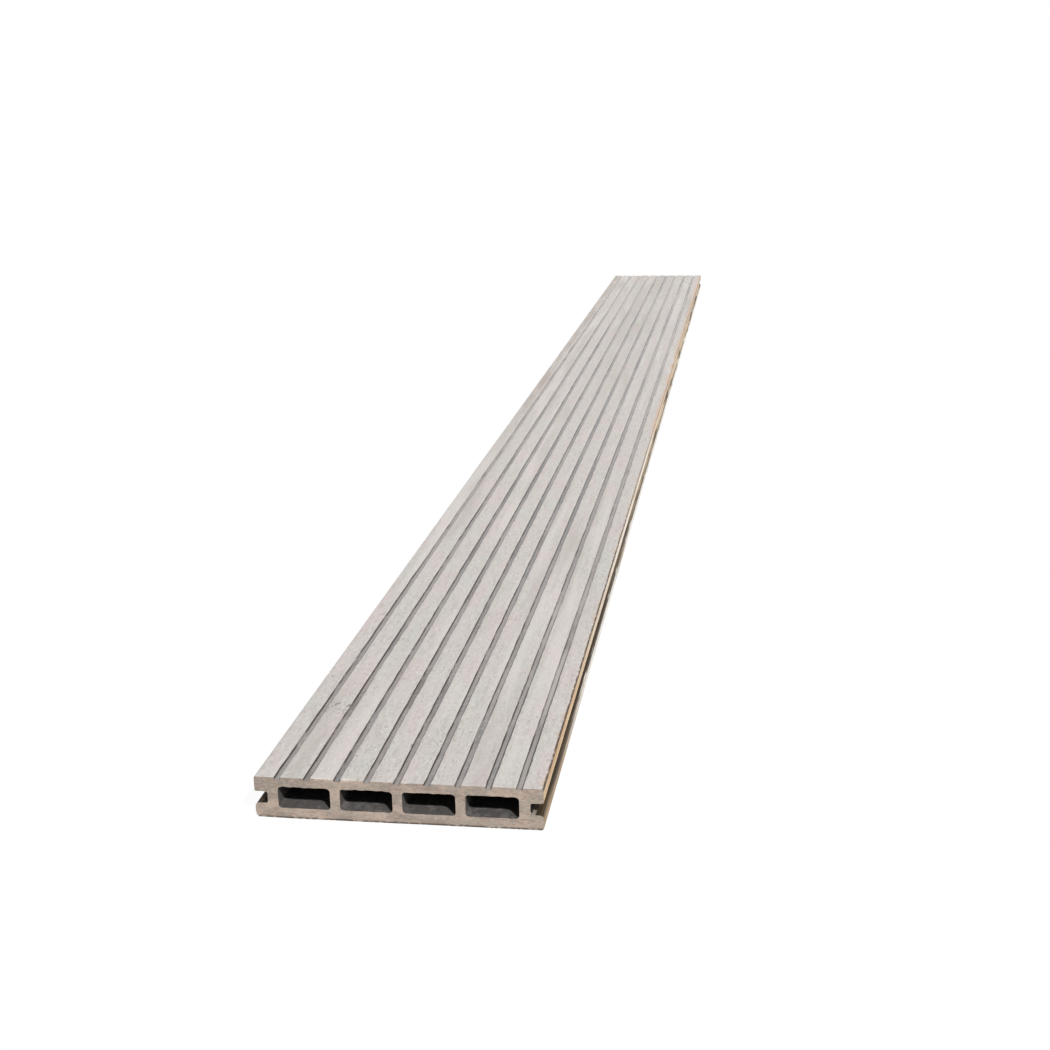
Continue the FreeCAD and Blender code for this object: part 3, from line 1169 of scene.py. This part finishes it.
# The long edges keep the smooth skin that the die gave them: warm tan with paler
# and redder streaks, with a soft gloss. Low on the upper lip, where its rounding faces
# down into shade, it is paler, which is painted light. Past the near end the edges are
# paled by painted sheen, the white surroundings reflected at a grazing view; the sheen
# is weaker about the middle, where they are tan again, and they are greyer towards the
# far end.
EDGE = Finish(
    name="composite_extruded_skin",
    colour="#D3A56E",
    roughness=0.5,
    specular=0.4,
    tints=(
        Tint("#F0D2A4", Grain(across=2, along=46, up=1.4, detail=4), 0.46, 0.62, 0.9),
        Tint("#B3804B", Grain(across=2, along=34, up=1.1, detail=3), 0.52, 0.68, 0.7),
        # Painted light: paler low on the upper lip, where the rounding faces down into shade.
        Tint("#FAE3C0", Grain(across=2, along=46), 0.2, 0.45, 0.8, ramps=(Ramp("Z", 16.4, 14.7),)),
        # Painted sheen: paler past the near end, and weaker again about the middle.
        Tint("#FEF3E4", LONG_STREAKS, 0.26, 0.5, 0.98, ramps=(Ramp("Y", -930, -560),)),
        Tint("#CBA87E", LONG_STREAKS, 0.3, 0.56, 0.84, ramps=(Ramp("Y", -350, 50),)),
        Tint("#AFA5A0", STREAKS, 0.3, 0.56, 0.6, ramps=(FAR_STRETCH,)),
    ),
)

# The lower lip's side is the same skin, browner and darker at the near end and
# darkest along its upper edge, next to the slot. Further on it is paled by painted sheen.
FOOT = Finish(
    name="composite_extruded_skin_lower_lip",
    colour="#A08058",
    roughness=0.55,
    specular=0.4,
    tints=(
        Tint("#B99A70", Grain(across=2, along=40, up=1.6, detail=4), 0.48, 0.66, 0.7),
        Tint("#6E5840", Grain(across=2, along=24, up=1.4, detail=3), 0.52, 0.68, 0.6),
        # Painted sheen: paler past the near end.
        Tint("#F9F2E8", STREAKS, 0.26, 0.5, 0.96, ramps=(Ramp("Y", -960, -780),)),
        Tint("#352A1D", Grain(across=2, along=40), 0.2, 0.5, 1.0, ramps=(Ramp("Z", 4.8, 6.8),)),
    ),
)

# The clip slots have the same skin, dark at the near end. Further on their floors are
# paler though they lie in shade, which is painted light and painted sheen.
SLOT = Finish(
    name="composite_slot_skin",
    colour="#352A1D",
    roughness=0.7,
    specular=0.2,
    tints=(
        Tint("#4E3F2D", Grain(across=2, along=40, up=2, detail=3), 0.5, 0.7, 0.6),
        # Painted light: the slot's floor is paler further on, though it lies in shade.
        Tint("#D2BA99", LONG_STREAKS, 0.3, 0.58, 0.95, ramps=(Ramp("Y", -760, 20),)),
    ),
)

# The slots' backs and roofs, and the left slot's floor away from its mouth, are nearly
# black, which is painted shade for the slots' deep shadow.
RECESS = Finish(name="composite_slot_painted_shade", colour="#1D1A17", roughness=0.85, specular=0.15)

# A pale strip in the corner of the right slot, close to the cuts, is painted light,
# where light catches the slot's rounded corner.
LIT_STRIP = Finish(
    name="composite_painted_light_strip",
    colour="#8D847A",
    roughness=0.95,
    specular=0.1,
    tints=(Tint("#645C54", Grain(across=1.5, along=2, up=1.5, detail=3), 0.5, 0.66, 0.7),),
)

# The underside was brushed too, but it lies out of sight, so it is plain.
UNDERSIDE = Finish(
    name="composite_brushed_underside",
    colour="#B3A9A2",
    roughness=0.7,
    tints=(Tint("#9A9089", UNDERSIDE_STREAKS, 0.5, 0.74, 0.7),),
    reliefs=(Relief(UNDERSIDE_STREAKS, 0.08),),
)

# The chambers' walls are the dark inner skin that cooled on the die's cores.
CHAMBER = Finish(
    name="composite_chamber_skin",
    colour="#514E4C",
    roughness=0.8,
    specular=0.2,
    tints=(
        Tint("#6D6866", Grain(across=4, along=6, up=4, detail=4), 0.48, 0.66, 0.7),
        Tint("#3E3B3A", Grain(across=3, along=4, up=3, detail=3), 0.52, 0.68, 0.6),
    ),
    reliefs=(Relief(Grain(across=1.5, along=8, up=1.5, detail=3), 0.1),),
)

# The ends were sawn across, which shows the warm beige of the wood flour itself,
# mottled and speckled with paler and darker fibres, with faint streaks along the
# walls. The speckles are coarser than the flour's own grain too, 0.9 to 2 mm across, so
# that they show. The lower rim broke off in the cut, and the end darkens towards its
# bottom edge.
SAWN = Finish(
    name="composite_sawn_end",
    colour="#A3978B",
    roughness=0.88,
    specular=0.2,
    tints=(
        Tint("#B8A597", Grain(across=17, along=17, up=7), 0.46, 0.6, 0.8),
        Tint("#90837A", Grain(across=15, along=15, up=6), 0.5, 0.62, 0.7),
        Tint("#B2978A", Grain(across=5, along=5, up=2.6), 0.5, 0.68, 0.45),
        Tint("#C3B5A6", Grain(across=2.0, along=2.0, up=0.8, detail=4), 0.48, 0.68, 0.45),
        Tint("#7B6E63", Grain(across=1.8, along=1.8, up=0.75, detail=4), 0.5, 0.7, 0.45),
        Tint("#5F5247", Grain(across=0.9, along=0.9, up=0.7, detail=1), 0.68, 0.8, 0.6),
        # Darker towards the bottom edge of the sawn end.
        Tint(
            "#332B24", Grain(across=2.6, along=2, up=2, detail=3), 0.38, 0.5, 1.0,
            ramps=(Ramp("Z", 1.7, 0),),
        ),
    ),
    reliefs=(Relief(Grain(across=0.8, along=0.8, up=0.7, detail=3), 0.14),),
)

FINISHES = {
    Face.BRUSHED: BRUSHED,
    Face.GROOVE: GROOVE,
    Face.WALL: WALL,
    Face.ARRIS: ARRIS,
    Face.EDGE: EDGE,
    Face.FOOT: FOOT,
    Face.SLOT: SLOT,
    Face.RECESS: RECESS,
    Face.LIT_STRIP: LIT_STRIP,
    Face.UNDERSIDE: UNDERSIDE,
    Face.CHAMBER: CHAMBER,
    Face.SAWN: SAWN,
}


@dataclass(frozen=True)
class Viewpoint:
    """Where the photograph was taken from, in millimetres from the middle of the near end."""

    across: float = 170.12
    behind: float = 679.55
    above: float = 351.68
    azimuth: float = -8.6845
    elevation: float = 16.016
    roll: float = -1.2634
    lens: float = 53.445
    sensor: float = 36.0

    def place(self, near_end: float) -> bpy.types.Object:
        """Makes the scene's camera.

        Args:
            near_end: where the near end lies along the board, in metres.

        Returns:
            The camera.
        """
        azimuth, elevation, roll = (math.radians(a) for a in (self.azimuth, self.elevation, self.roll))
        forward = Vector((
            math.sin(azimuth) * math.cos(elevation),
            math.cos(azimuth) * math.cos(elevation),
            -math.sin(elevation),
        ))
        level = Vector((math.cos(azimuth), -math.sin(azimuth), 0))
        right = level * math.cos(roll) + level.cross(forward) * math.sin(roll)
        up = right.cross(forward)
        data = bpy.data.cameras.new("photograph_view")
        data.lens = self.lens
        data.sensor_width = self.sensor
        camera = add_object("photograph_view", data)
        turned = Matrix((right, up, -forward)).transposed().to_4x4()
        place = Vector((self.across * MM, near_end - self.behind * MM, self.above * MM))
        camera.matrix_world = Matrix.Translation(place) @ turned
        bpy.context.scene.camera = camera
        return camera


@dataclass(frozen=True)
class Studio:
    """A white floor, one lamp from the front right and an even white sky.

    The floor is white to the camera and in reflections, but lights the board as a
    grey one would, since the photograph's shadows are nearly black. Its size and its
    gap under the board are metres.
    """

    lamp_azimuth: float = 33.5
    lamp_elevation: float = 43.5
    lamp_strength: float = 3.95
    lamp_spread: float = 3.0
    sky_strength: float = 0.15
    floor_size: float = 40.0
    floor_bounce: str = "#B4B4B4"
    floor_glow: float = 0.96
    floor_gap: float = 0.0002

    def backdrop_rays(self, tree: bpy.types.NodeTree) -> bpy.types.NodeSocket:
        """Tells rays that look at the backdrop from those that carry its light.

        Args:
            tree: the floor's or the sky's node tree.

        Returns:
            The output: 1 for rays that look, straight or by reflection, and 0 for light.
        """
        path = add_node(tree, "ShaderNodeLightPath")
        seen = path.outputs["Is Camera Ray"]
        for name in ("Is Glossy Ray", "Is Transmission Ray"):
            seen = add_node(tree, "ShaderNodeMath", {"operation": "MAXIMUM"}, {
                0: seen,
                1: path.outputs[name],
            }).outputs["Value"]
        return seen

    def light(self) -> None:
        """Makes the lamp and the sky."""
        data = bpy.data.lights.new("soft_key", "SUN")
        data.energy = self.lamp_strength
        data.angle = math.radians(self.lamp_spread)
        lamp = add_object("soft_key", data)
        azimuth, elevation = math.radians(self.lamp_azimuth), math.radians(self.lamp_elevation)
        towards = Vector((
            math.sin(azimuth) * math.cos(elevation),
            -math.cos(azimuth) * math.cos(elevation),
            math.sin(elevation),
        ))
        lamp.rotation_mode = "QUATERNION"
        lamp.rotation_quaternion = towards.to_track_quat("Z", "Y")
        world = bpy.data.worlds.new("white_sky")
        bpy.context.scene.world = world
        world.use_nodes = True
        tree = world.node_tree
        background = tree.nodes["Background"]
        background.inputs["Color"].default_value = linear("#FFFFFF")
        strength = add_node(tree, "ShaderNodeMapRange", None, {
            "Value": self.backdrop_rays(tree),
            "To Min": self.sky_strength,
            "To Max": 1.0,
        })
        tree.links.new(strength.outputs["Result"], background.inputs["Strength"])

    def floor(self) -> bpy.types.Object:
        """Makes the floor just under the board: white paper that keeps the board's shadow.

        Returns:
            The floor, which isn't part of the board.
        """
        half = self.floor_size / 2
        mesh = bpy.data.meshes.new("paper_floor")
        corners = [(-half, -half, 0), (half, -half, 0), (half, half, 0), (-half, half, 0)]
        mesh.from_pydata(corners, [], [(0, 1, 2, 3)])
        floor = add_object("paper_floor", mesh)
        floor.location.z = -self.floor_gap
        material = bpy.data.materials.new("white_paper")
        material.use_nodes = True
        tree = material.node_tree
        shader = tree.nodes["Principled BSDF"]
        seen = self.backdrop_rays(tree)
        colour = add_node(tree, "ShaderNodeMix", {"data_type": "RGBA"}, {
            MIX_FACTOR: seen,
            MIX_A: linear(self.floor_bounce),
            MIX_B: linear("#FFFFFF"),
        })
        tree.links.new(colour.outputs[MIX_RESULT], shader.inputs["Base Color"])
        shader.inputs["Roughness"].default_value = 1.0
        shader.inputs["Specular IOR Level"].default_value = 0.0
        glow = add_node(tree, "ShaderNodeEmission", None, {"Color": linear("#FFFFFF"), "Strength": 1.0})
        share = add_node(tree, "ShaderNodeMath", {"operation": "MULTIPLY"}, {
            0: seen,
            1: self.floor_glow,
        })
        mixed = add_node(tree, "ShaderNodeMixShader", None, {
            0: share.outputs["Value"],
            1: shader.outputs["BSDF"],
            2: glow.outputs["Emission"],
        })
        tree.links.new(mixed.outputs["Shader"], tree.nodes["Material Output"].inputs["Surface"])
        mesh.materials.append(material)
        return floor


def main() -> None:
    """Builds the board in its frame, dresses it and sets the studio round it."""
    logging.basicConfig(level=logging.INFO, format="%(name)s: %(message)s")
    bpy.context.scene.view_settings.view_transform = "Standard"
    lowest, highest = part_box(NODE)
    size = (highest - lowest) / MM
    board = DeckingBoard(
        section=Section(width=size.x, thickness=size.z),
        length=size.y,
        wear=Wear(),
        near_end=SawnEnd(
            facing=-1,
            top_chips=(Chip(-39.0, 10.0, 0.9), Chip(-25.3, 12.5, 1.1), Chip(4.0, 3.0, 0.5)),
            bottom_chips=(Chip(-52.5, 2.0, 0.7), Chip(-40.0, 3.6, 0.9), Chip(53.5, 2.2, 0.7)),
            seed=5,
        ),
        far_end=SawnEnd(
            facing=1,
            top_chips=(Chip(-51.0, 6.0, 0.5), Chip(18.0, 9.0, 0.5), Chip(44.0, 4.0, 0.4)),
            bottom_chips=(Chip(-12.0, 4.0, 0.6), Chip(31.0, 3.0, 0.5)),
            seed=23,
        ),
    )
    piece = board.build()
    for face in Face:
        piece.data.materials.append(FINISHES[face].material())
    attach(piece, "root")
    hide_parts(NODE)
    triangles = sum(len(polygon) - 2 for polygon in board.polygons)
    log.info("%s: %d points, %d triangles", piece.name, len(piece.data.vertices), triangles)

    studio = Studio()
    studio.light()
    studio.floor()
    camera = Viewpoint().place(near_end=lowest.y)
    log.info("%s: %.1f mm lens", camera.name, camera.data.lens)


if __name__ == "__main__":
    main()
